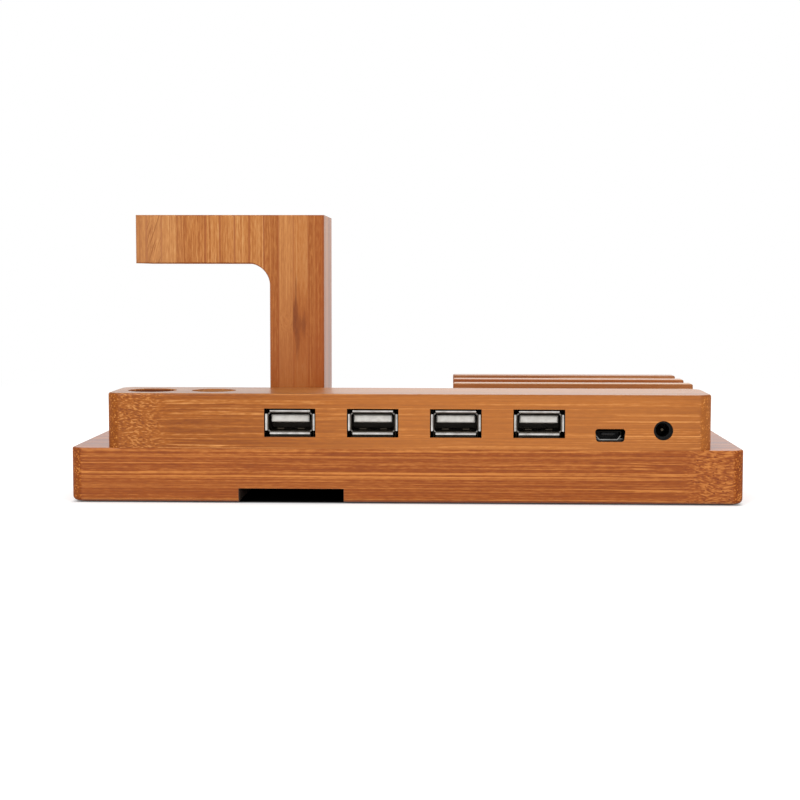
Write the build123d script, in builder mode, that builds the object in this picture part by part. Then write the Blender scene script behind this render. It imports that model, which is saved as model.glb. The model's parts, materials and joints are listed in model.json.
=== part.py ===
from build123d import *
import os

# A bamboo charging dock with a USB hub in its rear bar, a watch stand, three dividers and two pen holes.
# Millimetres. The ports face -Y, +X runs along the bar and +Z is up. The origin lies on the surface that
# the dock stands on, below the middle of its plate.

os.makedirs("parts", exist_ok=True)

# Base plate
plate_width = 196.4
plate_depth = 132.0
plate_thickness = 15.75
plate_corner_radius = 4.0
plate_top_round = 0.5
plate_bottom_round = 1.4

# Anti-slip pads in shallow recesses under the plate, clear of the screws at the bar's ends
pad_diameter = 14.0
pad_thickness = 1.6
pad_standout = 0.4
pad_inset_x = 15.4
pad_inset_y = 14.0
pad_clearance = 0.15
pad_edge_round = 0.2

# Cable channel under the plate, and the passage that leads into it from above
channel_width = 30.7
channel_depth = 4.0
channel_offset = -33.4
channel_end_margin = 3.0
passage_width = 17.0
passage_depth = 9.0

# Hub housing, the bar along the plate's rear edge
housing_length = 176.25
housing_depth = 27.0
housing_height = 16.05
housing_offset = 0.625
housing_corner_radius = 4.5
housing_top_round = 0.7
rear_wall = 2.4
front_wall = 2.6
end_wall = 8.2
roof_thickness = 3.0
ledge_width = 4.0

# Places along the bar, as shares of the stretch from its left end to the axis of the micro inlet
pen_hole_place_shares = [0.0789, 0.2046]
cavity_start_share = 0.2974
usb_first_share = 0.3677
usb_pitch_share = 0.1651

# Pen holes through the bar into the plate
pen_hole_diameters = [13.8, 12.3]
pen_hole_inset = 12.5
pen_hole_in_plate = 8.0
pen_rim_chamfer = 0.4

# Watch stand, a post with an arm
post_width = 16.6
post_offset = -34.0
stand_depth = 32.0
stand_height = 68.6
arm_length = 57.6
arm_thickness = 14.7
stand_inner_round = 6.7
stand_outer_round = 0.8
stand_edge_chamfer = 0.3
puck_diameter = 28.4
puck_recess_depth = 6.0
puck_end_margin = 2.4
puck_rim_chamfer = 0.5
groove_width = 4.6
groove_depth = 4.4
groove_bend_radius = 8.0

# Dividers
divider_count = 3
divider_length = 75.0
divider_thickness = 7.0
divider_height = 16.5
divider_gap = 14.3
divider_end_round = 0.5
divider_edge_chamfer = 0.25
dowel_diameter = 5.0
dowel_length = 16.0
dowel_spacing = 50.0
dowel_hole_clearance = 0.1
dowel_end_gap = 0.2
dowel_chamfer = 0.6

# Countersunk wood screws from below
wood_screw_diameter = 3.5
wood_screw_core = 2.5
wood_screw_length = 25.0
wood_screw_head = 7.0
wood_screw_rim = 0.3
wood_screw_head_height = 2.2
wood_screw_point = 3.0
wood_screw_threads = 9
wood_screw_smooth = 10.0
wood_screw_clearance = 0.1
cross_recess_length = 3.6
cross_recess_width = 0.8
cross_recess_depth = 1.3
screw_head_sink = 0.3
housing_screw_from_left_end = 5.0
housing_screw_from_cavity = 11.1
housing_screw_from_front = 4.2
housing_screw_from_right_end = 4.1
housing_screw_from_edges = 7.0
stand_screw_from_rear = 8.0
stand_screw_spacing = 12.0

# USB-A receptacles
usb_count = 4
usb_axis_height = 23.85
usb_opening_width = 14.95
usb_opening_height = 8.3
usb_opening_drop = 0.15
usb_shell_width = 13.1
usb_shell_height = 5.72
usb_shell_length = 13.9
usb_shell_corner = 0.95
usb_sheet = 0.3
usb_shell_inset = 1.0
usb_lip_run = 0.6
usb_lip_rise = 0.62
usb_lip_corner_gap = 0.7
usb_lip_side_gap = 0.45
usb_seam_gap = 0.2
usb_spring_offset = 3.0
usb_spring_width = 1.9
usb_spring_length = 4.6
usb_spring_rise = 0.55
usb_spring_from_front = 3.0
usb_spring_slot = 0.3
usb_leg_width = 2.0
usb_leg_from_front = 5.6
usb_leg_below_board = 0.5
usb_leg_hole_clearance = 0.3
usb_tongue_width = 11.1
usb_tongue_thickness = 2.15
usb_tongue_above_axis = 1.0
usb_tongue_inset = 2.3
usb_tongue_chamfer = 0.3
usb_block_length = 3.2
usb_block_fit = 0.05
usb_back_thickness = 1.5
usb_base_margin = 0.4
usb_base_from_wall = 0.4
contact_width = 1.0
contact_thickness = 0.25
contact_inner_spacing = 2.0
contact_outer_spacing = 7.0
contact_front_margin = 0.8
contact_tail_from_back = 0.5
contact_tail_below_board = 0.5
contact_hole_diameter = 1.2

# Micro-USB receptacle
micro_from_dc = 15.8
micro_opening_shift = 0.5
micro_opening_width = 8.9
micro_opening_low_width = 8.0
micro_opening_height = 3.75
micro_opening_below_board = 0.45
micro_opening_round = 0.85
micro_width = 7.4
micro_low_width = 5.3
micro_height = 2.6
micro_side_height = 1.2
micro_sheet = 0.25
micro_length = 5.4
micro_inset = 0.9
micro_tongue_width = 3.8
micro_tongue_thickness = 0.6
micro_tongue_below_top = 0.85
micro_tongue_inset = 1.0
micro_block_length = 1.6
micro_contact_count = 5
micro_contact_pitch = 0.65
micro_contact_width = 0.35
micro_contact_thickness = 0.12
micro_contact_front_margin = 0.4
micro_wing_reach = 1.2
micro_wing_length = 1.8
micro_wing_from_back = 1.2

# Power inlet
dc_from_right_end = 14.2
dc_opening_diameter = 5.6
dc_body_width = 6.4
dc_body_height = 5.7
dc_body_length = 10.4
dc_body_gap = 0.1
dc_body_chamfer = 0.4
dc_bore_diameter = 4.0
dc_bore_depth = 8.6
dc_pin_diameter = 1.3
dc_pin_fit = 0.05
dc_pin_inset = 0.8
dc_pin_tail = 1.2
dc_pin_round = 0.4
dc_spring_width = 1.6
dc_spring_thickness = 0.25
dc_spring_length = 6.5
dc_spring_rise = 0.5
dc_spring_from_front = 1.4
dc_spring_slot_clearance = 0.1

# Circuit board
board_thickness = 1.6
board_top = 19.0
board_clearance = 0.3
board_screw_place_shares = [0.13, 0.47, 0.86]
board_screw_from_ledge = 2.1
board_screw_diameter = 2.0
board_screw_length = 8.0
board_screw_head = 3.4
board_screw_head_height = 0.9
board_screw_head_round = 0.3
board_screw_slot_width = 0.5
board_screw_slot_depth = 0.4
board_screw_clearance = 0.1
board_screw_end_gap = 0.3

# Chips with leads along two sides
chip_width = 3.9
chip_height = 1.5
chip_standoff = 0.15
chip_chamfer = 0.25
chip_lead_reach = 1.05
chip_lead_foot = 0.5
chip_lead_thickness = 0.2
hub_chip_length = 9.9
hub_chip_lead_count = 14
hub_chip_lead_pitch = 0.635
hub_chip_lead_width = 0.3
regulator_length = 4.9
regulator_lead_count = 4
regulator_lead_pitch = 1.27
regulator_lead_width = 0.42
component_inset = 9.0

# Clock crystal
crystal_length = 10.8
crystal_width = 4.6
crystal_height = 3.4
crystal_flange = 0.45
crystal_flange_height = 0.5
crystal_round = 0.4

# Power inductor, behind the micro receptacle
inductor_from_micro = 1.2
inductor_size = 7.0
inductor_height = 3.4
inductor_corner = 1.2
inductor_core_diameter = 4.6
inductor_core_recess = 0.4

# Port fuses
fuse_length = 4.4
fuse_width = 2.9
fuse_height = 1.1
fuse_cap_length = 0.7
fuse_cap_step = 0.06
fuse_from_back = 0.25

# Filter capacitors
capacitor_count = 2
capacitor_from_dc = 0.45
capacitor_inset = 7.6
capacitor_pitch = 8.0
capacitor_diameter = 6.2
capacitor_height = 6.6
capacitor_base = 6.6
capacitor_base_height = 0.9
capacitor_base_chamfer = 1.2
capacitor_groove_depth = 0.25
capacitor_groove_height = 0.5
capacitor_groove_level = 1.9
capacitor_top_round = 0.5

# One overrun for every cut that comes out of the far side
overrun = 1.0

# Levels and faces that follow from the sizes above
plate_bottom = pad_standout
deck = plate_bottom + plate_thickness
housing_top = deck + housing_height
rear_face = -plate_depth / 2
housing_front = rear_face + housing_depth
housing_middle = rear_face + housing_depth / 2
housing_left = housing_offset - housing_length / 2
housing_right = housing_offset + housing_length / 2
dc_x = housing_right - dc_from_right_end
micro_x = dc_x - micro_from_dc
shared_stretch = micro_x - housing_left
stand_front = housing_front + stand_depth
stand_middle = housing_front + stand_depth / 2
stand_top = deck + stand_height
arm_bottom = stand_top - arm_thickness
post_left = post_offset - post_width / 2
post_right = post_offset + post_width / 2
arm_left = post_right - arm_length
puck_x = arm_left + puck_end_margin + puck_diameter / 2
puck_floor = stand_top - puck_recess_depth
channel_top = plate_bottom + channel_depth
channel_front = stand_front + passage_depth + channel_end_margin
divider_x = housing_right - divider_length / 2
divider_step = divider_gap + divider_thickness
divider_rears = [housing_front + divider_gap + n * divider_step for n in range(divider_count)]
board_bottom = board_top - board_thickness
cavity_rear = rear_face + rear_wall
cavity_front = housing_front - front_wall
cavity_left = housing_left + cavity_start_share * shared_stretch
cavity_right = housing_right - end_wall
cavity_x = (cavity_left + cavity_right) / 2
cavity_length = cavity_right - cavity_left
cavity_top = housing_top - roof_thickness
ledge_rear = cavity_front - ledge_width
usb_place_shares = [usb_first_share + n * usb_pitch_share for n in range(usb_count)]
usb_places = [housing_left + share * shared_stretch for share in usb_place_shares]
shell_front = rear_face + usb_shell_inset
shell_back = shell_front + usb_shell_length
shell_bottom = usb_axis_height - usb_shell_height / 2
shell_top = usb_axis_height + usb_shell_height / 2
tongue_front = rear_face + usb_tongue_inset
tongue_middle = usb_axis_height + usb_tongue_above_axis
tongue_bottom = tongue_middle - usb_tongue_thickness / 2
insulator_back = shell_back + usb_back_thickness
contact_tail_front = insulator_back - contact_tail_from_back - contact_thickness
contact_places = [
    side * spacing / 2 for spacing in (contact_inner_spacing, contact_outer_spacing) for side in (-1, 1)
]
micro_front = rear_face + micro_inset
micro_back = micro_front + micro_length
micro_top = board_top + micro_height
micro_opening_x = micro_x + micro_opening_shift
inductor_y = micro_back + inductor_from_micro + inductor_size / 2
capacitor_x = dc_x - dc_body_width / 2 - capacitor_from_dc - capacitor_base / 2
dc_axis_height = board_top + dc_body_height / 2
dc_front = cavity_rear + dc_body_gap
component_y = rear_face + component_inset
fuse_y = insulator_back + fuse_from_back + fuse_width / 2

# Places that several pieces share, as x and y
pad_places = [
    (x, end * (plate_depth / 2 - pad_inset_y))
    for x in (housing_left + pad_inset_x, housing_right - pad_inset_x) for end in (-1, 1)
]
pen_holes = [
    (housing_left + share * shared_stretch, rear_face + pen_hole_inset, diameter / 2)
    for share, diameter in zip(pen_hole_place_shares, pen_hole_diameters)
]
housing_screw_places = [
    (housing_left + housing_screw_from_left_end, housing_front - housing_screw_from_front),
    (cavity_left - housing_screw_from_cavity, housing_front - housing_screw_from_front),
    (housing_right - housing_screw_from_right_end, rear_face + housing_screw_from_edges),
    (housing_right - housing_screw_from_right_end, housing_front - housing_screw_from_edges),
]
stand_screw_places = [
    (post_offset, housing_front + stand_screw_from_rear + n * stand_screw_spacing) for n in range(2)
]
dowel_places = [
    (divider_x + side * dowel_spacing / 2, rear + divider_thickness / 2)
    for rear in divider_rears for side in (-1, 1)
]
board_screw_points = [
    (cavity_left + share * cavity_length, ledge_rear + board_screw_from_ledge)
    for share in board_screw_place_shares
]


def facing_plane(y):
    """The plane parallel to the port face at this y: its own x is +X, its own y is +Z, it looks to -Y."""
    return Plane(origin=(0, y, 0), x_dir=(1, 0, 0), z_dir=(0, -1, 0))


def side_plane(x):
    """The plane square to X at this x: its own x is +Y and its own y is +Z."""
    return Plane(origin=(x, 0, 0), x_dir=(0, 1, 0), z_dir=(1, 0, 0))


def save(builder, name):
    """Labels a finished piece and writes it to its own file."""
    builder.part.label = name
    export_step(builder.part, f"parts/{name}.step")


def make_wood_screw():
    """A countersunk screw that points up, with its head's flat face at z = 0."""
    head, shank, core = wood_screw_head / 2, wood_screw_diameter / 2, wood_screw_core / 2
    thread_end = wood_screw_length - wood_screw_point
    thread_pitch = (thread_end - wood_screw_smooth) / wood_screw_threads
    outline = [(0, 0), (head, 0), (head, wood_screw_rim), (shank, wood_screw_head_height)]
    outline += [(shank, wood_screw_smooth)]
    for n in range(wood_screw_threads):
        start = wood_screw_smooth + n * thread_pitch
        outline += [(core, start + thread_pitch / 4), (shank, start + thread_pitch)]
    outline += [(0, wood_screw_length)]
    with BuildPart() as wood_screw:
        with BuildSketch(Plane.XZ):
            with BuildLine():
                Polyline(*outline, close=True)
            make_face()
        revolve(axis=Axis.Z)
        with BuildSketch(Plane.XY):
            Rectangle(cross_recess_length, cross_recess_width)
            Rectangle(cross_recess_width, cross_recess_length)
        extrude(amount=cross_recess_depth, mode=Mode.SUBTRACT)
    return wood_screw.part


def make_wood_screw_hole():
    """The space that such a screw needs, with the surface that it is sunk into at z = 0."""
    sink = wood_screw_head / 2 + wood_screw_clearance
    bore = wood_screw_diameter / 2 + wood_screw_clearance
    rim_top = screw_head_sink + wood_screw_rim
    cone_top = screw_head_sink + wood_screw_head_height
    bottom = screw_head_sink + wood_screw_length + wood_screw_clearance
    with BuildPart() as wood_screw_hole:
        with BuildSketch(Plane.XZ):
            with BuildLine():
                Polyline((0, -overrun), (sink, -overrun), (sink, rim_top), (bore, cone_top), (bore, bottom),
                         (0, bottom), close=True)
            make_face()
        revolve(axis=Axis.Z)
    return wood_screw_hole.part


wood_screw = make_wood_screw()
wood_screw_hole = make_wood_screw_hole()

# Base plate: a rounded board with a land under the bar, a cable channel below and a cable passage into it
with BuildPart() as base_plate:
    with BuildSketch(Plane.XY.offset(plate_bottom)):
        RectangleRounded(plate_width, plate_depth, plate_corner_radius)
    extrude(amount=plate_thickness)
    fillet(base_plate.faces().sort_by(Axis.Z)[-1].edges(), plate_top_round)
    fillet(base_plate.faces().sort_by(Axis.Z)[0].edges(), plate_bottom_round)
    with BuildSketch(Plane.XY.offset(deck - plate_top_round)):
        with Locations((housing_offset, housing_middle)):
            RectangleRounded(housing_length, housing_depth, housing_corner_radius)
    extrude(amount=plate_top_round)
    with BuildSketch(Plane.XY.offset(plate_bottom)):
        with Locations((channel_offset, (rear_face + channel_front) / 2)):
            Rectangle(channel_width, channel_front - rear_face)
    extrude(amount=channel_depth, mode=Mode.SUBTRACT)
    with BuildSketch(Plane.XY.offset(plate_bottom)):
        with Locations((post_offset, stand_front + passage_depth / 2)):
            SlotOverall(passage_width, passage_depth)
    extrude(amount=plate_thickness, mode=Mode.SUBTRACT)
    for pen_x, pen_y, pen_radius in pen_holes:
        with BuildSketch(Plane.XY.offset(deck - pen_hole_in_plate)):
            with Locations((pen_x, pen_y)):
                Circle(pen_radius)
        extrude(amount=pen_hole_in_plate, mode=Mode.SUBTRACT)
    with BuildSketch(Plane.XY.offset(deck - dowel_length / 2 - dowel_end_gap)):
        with Locations(*dowel_places):
            Circle(dowel_diameter / 2 + dowel_hole_clearance)
    extrude(amount=dowel_length / 2 + dowel_end_gap, mode=Mode.SUBTRACT)
    with BuildSketch(Plane.XY.offset(plate_bottom)):
        with Locations(*pad_places):
            Circle(pad_diameter / 2 + pad_clearance)
    extrude(amount=pad_thickness - pad_standout, mode=Mode.SUBTRACT)
    with Locations(*[(x, y, plate_bottom) for x, y in housing_screw_places]):
        add(wood_screw_hole, mode=Mode.SUBTRACT)
    with Locations(*[(x, y, channel_top) for x, y in stand_screw_places]):
        add(wood_screw_hole, mode=Mode.SUBTRACT)
save(base_plate, "base_plate")

# Pads that keep the dock from sliding
with BuildPart() as base_pads:
    with BuildSketch(Plane.XY):
        with Locations(*pad_places):
            Circle(pad_diameter / 2)
    extrude(amount=pad_thickness)
    fillet(base_pads.faces().filter_by(Axis.Z).group_by(Axis.Z)[0].edges(), pad_edge_round)
save(base_pads, "base_pads")

# Hub housing: a bar hollowed from below, with the openings of its ports in the rear wall
with BuildPart() as hub_housing:
    with BuildSketch(Plane.XY.offset(deck)):
        with Locations((housing_offset, housing_middle)):
            RectangleRounded(housing_length, housing_depth, housing_corner_radius)
    extrude(amount=housing_height)
    fillet(hub_housing.faces().sort_by(Axis.Z)[-1].edges(), housing_top_round)
    with BuildSketch(Plane.XY.offset(deck)):
        with Locations((cavity_x, (cavity_rear + cavity_front) / 2)):
            Rectangle(cavity_length, cavity_front - cavity_rear)
    extrude(amount=board_top - deck, mode=Mode.SUBTRACT)
    with BuildSketch(Plane.XY.offset(board_top)):
        with Locations((cavity_x, (cavity_rear + ledge_rear) / 2)):
            Rectangle(cavity_length, ledge_rear - cavity_rear)
    extrude(amount=cavity_top - board_top, mode=Mode.SUBTRACT)
    with BuildSketch(facing_plane(rear_face)):
        with Locations(*[(x, usb_axis_height - usb_opening_drop) for x in usb_places]):
            Rectangle(usb_opening_width, usb_opening_height)
        with Locations((dc_x, dc_axis_height)):
            Circle(dc_opening_diameter / 2)
    extrude(amount=-rear_wall, mode=Mode.SUBTRACT)
    with BuildSketch(facing_plane(rear_face)) as micro_opening:
        with BuildLine():
            low = board_top - micro_opening_below_board
            high = low + micro_opening_height
            Polyline(
                (micro_opening_x - micro_opening_low_width / 2, low),
                (micro_opening_x + micro_opening_low_width / 2, low),
                (micro_opening_x + micro_opening_width / 2, high),
                (micro_opening_x - micro_opening_width / 2, high), close=True)
        make_face()
        fillet(micro_opening.vertices(), micro_opening_round)
    extrude(amount=-rear_wall, mode=Mode.SUBTRACT)
    for pen_x, pen_y, pen_radius in pen_holes:
        with BuildSketch(Plane.XY.offset(deck)):
            with Locations((pen_x, pen_y)):
                Circle(pen_radius)
        extrude(amount=housing_height, mode=Mode.SUBTRACT)
        with BuildSketch(Plane.XY.offset(housing_top - pen_rim_chamfer)):
            with Locations((pen_x, pen_y)):
                Circle(pen_radius)
        with BuildSketch(Plane.XY.offset(housing_top)):
            with Locations((pen_x, pen_y)):
                Circle(pen_radius + pen_rim_chamfer)
        loft(mode=Mode.SUBTRACT)
    with Locations(*[(x, y, plate_bottom) for x, y in housing_screw_places]):
        add(wood_screw_hole, mode=Mode.SUBTRACT)
    with BuildSketch(Plane.XY.offset(board_top)):
        with Locations(*board_screw_points):
            Circle(board_screw_diameter / 2 + board_screw_clearance)
    extrude(amount=board_screw_length - board_thickness + board_screw_end_gap, mode=Mode.SUBTRACT)
save(hub_housing, "hub_housing")

# Watch stand: a post with an arm, a round recess for a charging puck and a groove for its lead
with BuildPart() as watch_stand:
    with BuildSketch(facing_plane(housing_front)) as stand_outline:
        with BuildLine():
            Polyline((post_left, deck), (post_right, deck), (post_right, stand_top), (arm_left, stand_top),
                     (arm_left, arm_bottom), (post_left, arm_bottom), close=True)
        make_face()
        upper_corners = stand_outline.vertices().group_by(Axis.Y)[1:]
        inner_corner = upper_corners[0].sort_by(Axis.X)[-1]
        outer_corners = upper_corners[0].sort_by(Axis.X)[:1] + upper_corners[1]
        fillet(inner_corner, stand_inner_round)
        fillet(outer_corners, stand_outer_round)
    extrude(amount=-stand_depth)
    end_faces = watch_stand.faces().filter_by(Axis.Y)
    eased_edges = end_faces.edges().filter_by(lambda edge: edge.center().Z > deck + stand_edge_chamfer)
    chamfer(eased_edges, stand_edge_chamfer)
    with BuildSketch(Plane.XY.offset(puck_floor)):
        with Locations((puck_x, stand_middle)):
            Circle(puck_diameter / 2)
    extrude(amount=puck_recess_depth, mode=Mode.SUBTRACT)
    with BuildSketch(Plane.XY.offset(stand_top - puck_rim_chamfer)):
        with Locations((puck_x, stand_middle)):
            Circle(puck_diameter / 2)
    with BuildSketch(Plane.XY.offset(stand_top)):
        with Locations((puck_x, stand_middle)):
            Circle(puck_diameter / 2 + puck_rim_chamfer)
    loft(mode=Mode.SUBTRACT)
    with BuildSketch(facing_plane(stand_front)):
        with BuildLine():
            FilletPolyline((post_offset, deck - overrun), (post_offset, puck_floor), (puck_x, puck_floor),
                           radius=groove_bend_radius)
        trace(line_width=groove_width)
    extrude(amount=groove_depth, mode=Mode.SUBTRACT)
    with Locations(*[(x, y, channel_top) for x, y in stand_screw_places]):
        add(wood_screw_hole, mode=Mode.SUBTRACT)
save(watch_stand, "watch_stand")


def make_divider(rear):
    """A low board with rounded top corners and two dowel holes, its rear face at this y."""
    with BuildPart() as divider:
        with BuildSketch(facing_plane(rear)) as outline:
            with Locations((divider_x, deck + divider_height / 2)):
                Rectangle(divider_length, divider_height)
            fillet(outline.vertices().group_by(Axis.Y)[-1], divider_end_round)
        extrude(amount=-divider_thickness)
        faces = divider.faces().filter_by(Axis.Y)
        eased = faces.edges().filter_by(lambda edge: edge.center().Z > deck + divider_edge_chamfer)
        chamfer(eased, divider_edge_chamfer)
        with BuildSketch(Plane.XY.offset(deck)):
            with Locations(*[(x, y) for x, y in dowel_places if rear < y < rear + divider_thickness]):
                Circle(dowel_diameter / 2 + dowel_hole_clearance)
        extrude(amount=dowel_length / 2 + dowel_end_gap, mode=Mode.SUBTRACT)
    return divider


for number, rear in enumerate(divider_rears, start=1):
    save(make_divider(rear), f"divider_{number}")

# Dowels, half in the dividers and half in the plate
with BuildPart() as divider_dowels:
    with BuildSketch(Plane.XY.offset(deck - dowel_length / 2)):
        with Locations(*dowel_places):
            Circle(dowel_diameter / 2)
    extrude(amount=dowel_length)
    chamfer(divider_dowels.faces().filter_by(Axis.Z).edges(), dowel_chamfer)
save(divider_dowels, "divider_dowels")

# Screws that hold the housing and the watch stand to the plate
with BuildPart() as housing_screws:
    with Locations(*[(x, y, plate_bottom + screw_head_sink) for x, y in housing_screw_places]):
        add(wood_screw)
save(housing_screws, "housing_screws")

with BuildPart() as stand_screws:
    with Locations(*[(x, y, channel_top + screw_head_sink) for x, y in stand_screw_places]):
        add(wood_screw)
save(stand_screws, "stand_screws")


def make_usb_shell(x):
    """The folded steel shell of a receptacle, with flared lips, a seam, two springs and two legs."""
    half_width, half_height = usb_shell_width / 2, usb_shell_height / 2
    spring_start = shell_front + usb_spring_from_front
    spring_end = spring_start + usb_spring_length
    spring_tip = shell_bottom + usb_spring_rise
    leg_start = shell_front + usb_leg_from_front
    with BuildPart() as shell:
        with BuildSketch(facing_plane(shell_front)):
            with Locations((x, usb_axis_height)):
                RectangleRounded(usb_shell_width, usb_shell_height, usb_shell_corner)
                RectangleRounded(usb_shell_width - 2 * usb_sheet, usb_shell_height - 2 * usb_sheet,
                                 usb_shell_corner - usb_sheet, mode=Mode.SUBTRACT)
        extrude(amount=-usb_shell_length)
        for side in (-1, 1):
            root = usb_axis_height + side * half_height
            with BuildSketch(side_plane(x - half_width + usb_lip_corner_gap)):
                with BuildLine():
                    Polyline((shell_front, root), (shell_front, root - side * usb_sheet),
                             (shell_front - usb_lip_run, root - side * usb_sheet + side * usb_lip_rise),
                             (shell_front - usb_lip_run, root + side * usb_lip_rise), close=True)
                make_face()
            extrude(amount=usb_shell_width - 2 * usb_lip_corner_gap)
            wall = x + side * half_width
            with BuildSketch(Plane.XY.offset(shell_bottom + usb_lip_side_gap)):
                with BuildLine():
                    Polyline((wall, shell_front), (wall - side * usb_sheet, shell_front),
                             (wall - side * usb_sheet + side * usb_lip_rise, shell_front - usb_lip_run),
                             (wall + side * usb_lip_rise, shell_front - usb_lip_run), close=True)
                make_face()
            extrude(amount=usb_shell_height - 2 * usb_lip_side_gap)
        with BuildSketch(Plane.XY.offset(shell_bottom + usb_sheet)):
            with Locations((x, (shell_front + shell_back) / 2)):
                Rectangle(usb_seam_gap, usb_shell_length)
            with Locations(*[(x + side * usb_spring_offset, (spring_start + spring_end) / 2)
                             for side in (-1, 1)]):
                Rectangle(usb_spring_width + 2 * usb_spring_slot, usb_spring_length)
        extrude(amount=-usb_sheet, mode=Mode.SUBTRACT)
        for side in (-1, 1):
            with BuildSketch(side_plane(x + side * usb_spring_offset)):
                with BuildLine():
                    Polyline((spring_end, shell_bottom), (spring_end, shell_bottom + usb_sheet),
                             (spring_start, spring_tip + usb_sheet), (spring_start, spring_tip), close=True)
                make_face()
            extrude(amount=usb_spring_width / 2, both=True)
            wall = x + side * (half_width - usb_sheet / 2)
            leg_low = board_bottom - usb_leg_below_board
            with BuildSketch(side_plane(wall)):
                with Locations((leg_start + usb_leg_width / 2, (leg_low + usb_axis_height) / 2)):
                    Rectangle(usb_leg_width, usb_axis_height - leg_low)
            extrude(amount=usb_sheet / 2, both=True)
    return shell


def make_usb_contacts(x):
    """Four contact strips under the tongue, each with a tail that goes down through the board."""
    tail_back = contact_tail_front + contact_thickness
    tail_low = board_bottom - contact_tail_below_board
    strip_low = tongue_bottom - contact_thickness
    strip_front = tongue_front + contact_front_margin
    with BuildPart() as contacts:
        for place in contact_places:
            with BuildSketch(side_plane(x + place)):
                with BuildLine():
                    Polyline((strip_front, strip_low), (strip_front, tongue_bottom),
                             (tail_back, tongue_bottom), (tail_back, tail_low),
                             (contact_tail_front, tail_low), (contact_tail_front, strip_low), close=True)
                make_face()
            extrude(amount=contact_width / 2, both=True)
    return contacts


def make_usb_tongue(x, contacts):
    """The moulded tongue with its block in the shell, its back and the base that lifts the shell."""
    inner_width = usb_shell_width - 2 * usb_sheet
    inner_height = usb_shell_height - 2 * usb_sheet
    block_front = shell_back - usb_block_length
    base_front = cavity_rear + usb_base_from_wall
    with BuildPart() as tongue:
        with BuildSketch(facing_plane(tongue_front)):
            with Locations((x, tongue_middle)):
                Rectangle(usb_tongue_width, usb_tongue_thickness)
        extrude(amount=tongue_front - block_front)
        chamfer(tongue.faces().sort_by(Axis.Y)[0].edges(), usb_tongue_chamfer)
        with BuildSketch(facing_plane(block_front)):
            with Locations((x, usb_axis_height)):
                RectangleRounded(inner_width - 2 * usb_block_fit, inner_height - 2 * usb_block_fit,
                                 usb_shell_corner - usb_sheet)
        extrude(amount=-usb_block_length)
        with BuildSketch(facing_plane(shell_back)):
            with Locations((x, (board_top + shell_top) / 2)):
                Rectangle(usb_shell_width, shell_top - board_top)
        extrude(amount=-usb_back_thickness)
        with BuildSketch(facing_plane(base_front)):
            with Locations((x, (board_top + shell_bottom) / 2)):
                Rectangle(inner_width - 2 * usb_base_margin, shell_bottom - board_top)
        extrude(amount=base_front - shell_back)
        add(contacts.part, mode=Mode.SUBTRACT)
    return tongue


for number, x in enumerate(usb_places, start=1):
    usb_contacts = make_usb_contacts(x)
    save(make_usb_shell(x), f"usb_a_shell_{number}")
    save(usb_contacts, f"usb_a_contacts_{number}")
    save(make_usb_tongue(x, usb_contacts), f"usb_a_tongue_{number}")


def micro_outline(shrink):
    """The corners of the micro receptacle's section, drawn in by this much on every side."""
    slope_width = (micro_width - micro_low_width) / 2
    slope_height = micro_height - micro_side_height
    slope = (slope_width ** 2 + slope_height ** 2) ** 0.5
    low_half = micro_low_width / 2 - shrink * (slope - slope_width) / slope_height
    side = micro_width / 2 - shrink
    shoulder = board_top + slope_height + shrink * (slope_height - slope) / slope_width + shrink
    low, high = board_top + shrink, micro_top - shrink
    right = [(low_half, low), (side, shoulder - shrink), (side, high)]
    left = [(-px, pz) for px, pz in reversed(right)]
    return [(micro_x + px, pz) for px, pz in right + left]


# Micro receptacle: shell, moulded tongue and contacts
with BuildPart() as micro_usb_shell:
    with BuildSketch(facing_plane(micro_front)):
        with BuildLine():
            Polyline(*micro_outline(0), close=True)
        make_face()
        with BuildLine():
            Polyline(*micro_outline(micro_sheet), close=True)
        make_face(mode=Mode.SUBTRACT)
    extrude(amount=-micro_length)
    wing_y = micro_back - micro_wing_from_back - micro_wing_length / 2
    with BuildSketch(Plane.XY.offset(board_top)):
        for side in (-1, 1):
            reach = (micro_width - micro_low_width) / 2 + micro_wing_reach + micro_sheet
            middle = micro_low_width / 2 - micro_sheet + reach / 2
            with Locations((micro_x + side * middle, wing_y)):
                Rectangle(reach, micro_wing_length)
    extrude(amount=micro_sheet)
save(micro_usb_shell, "micro_usb_shell")

micro_tongue_z = micro_top - micro_tongue_below_top
micro_block_front = micro_back - micro_block_length
with BuildPart() as micro_usb_contacts:
    with BuildSketch(facing_plane(micro_front + micro_tongue_inset + micro_contact_front_margin)):
        first = micro_x - micro_contact_pitch * (micro_contact_count - 1) / 2
        low = micro_tongue_z - micro_tongue_thickness / 2 - micro_contact_thickness / 2
        with Locations(*[(first + n * micro_contact_pitch, low) for n in range(micro_contact_count)]):
            Rectangle(micro_contact_width, micro_contact_thickness)
    extrude(amount=micro_tongue_inset + micro_contact_front_margin - micro_length)
save(micro_usb_contacts, "micro_usb_contacts")

with BuildPart() as micro_usb_tongue:
    with BuildSketch(facing_plane(micro_front + micro_tongue_inset)):
        with Locations((micro_x, micro_tongue_z)):
            Rectangle(micro_tongue_width, micro_tongue_thickness)
    extrude(amount=micro_tongue_inset - micro_length)
    with BuildSketch(facing_plane(micro_block_front)):
        with BuildLine():
            Polyline(*micro_outline(micro_sheet), close=True)
        make_face()
    extrude(amount=-micro_block_length)
    add(micro_usb_contacts.part, mode=Mode.SUBTRACT)
save(micro_usb_tongue, "micro_usb_tongue")

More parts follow.
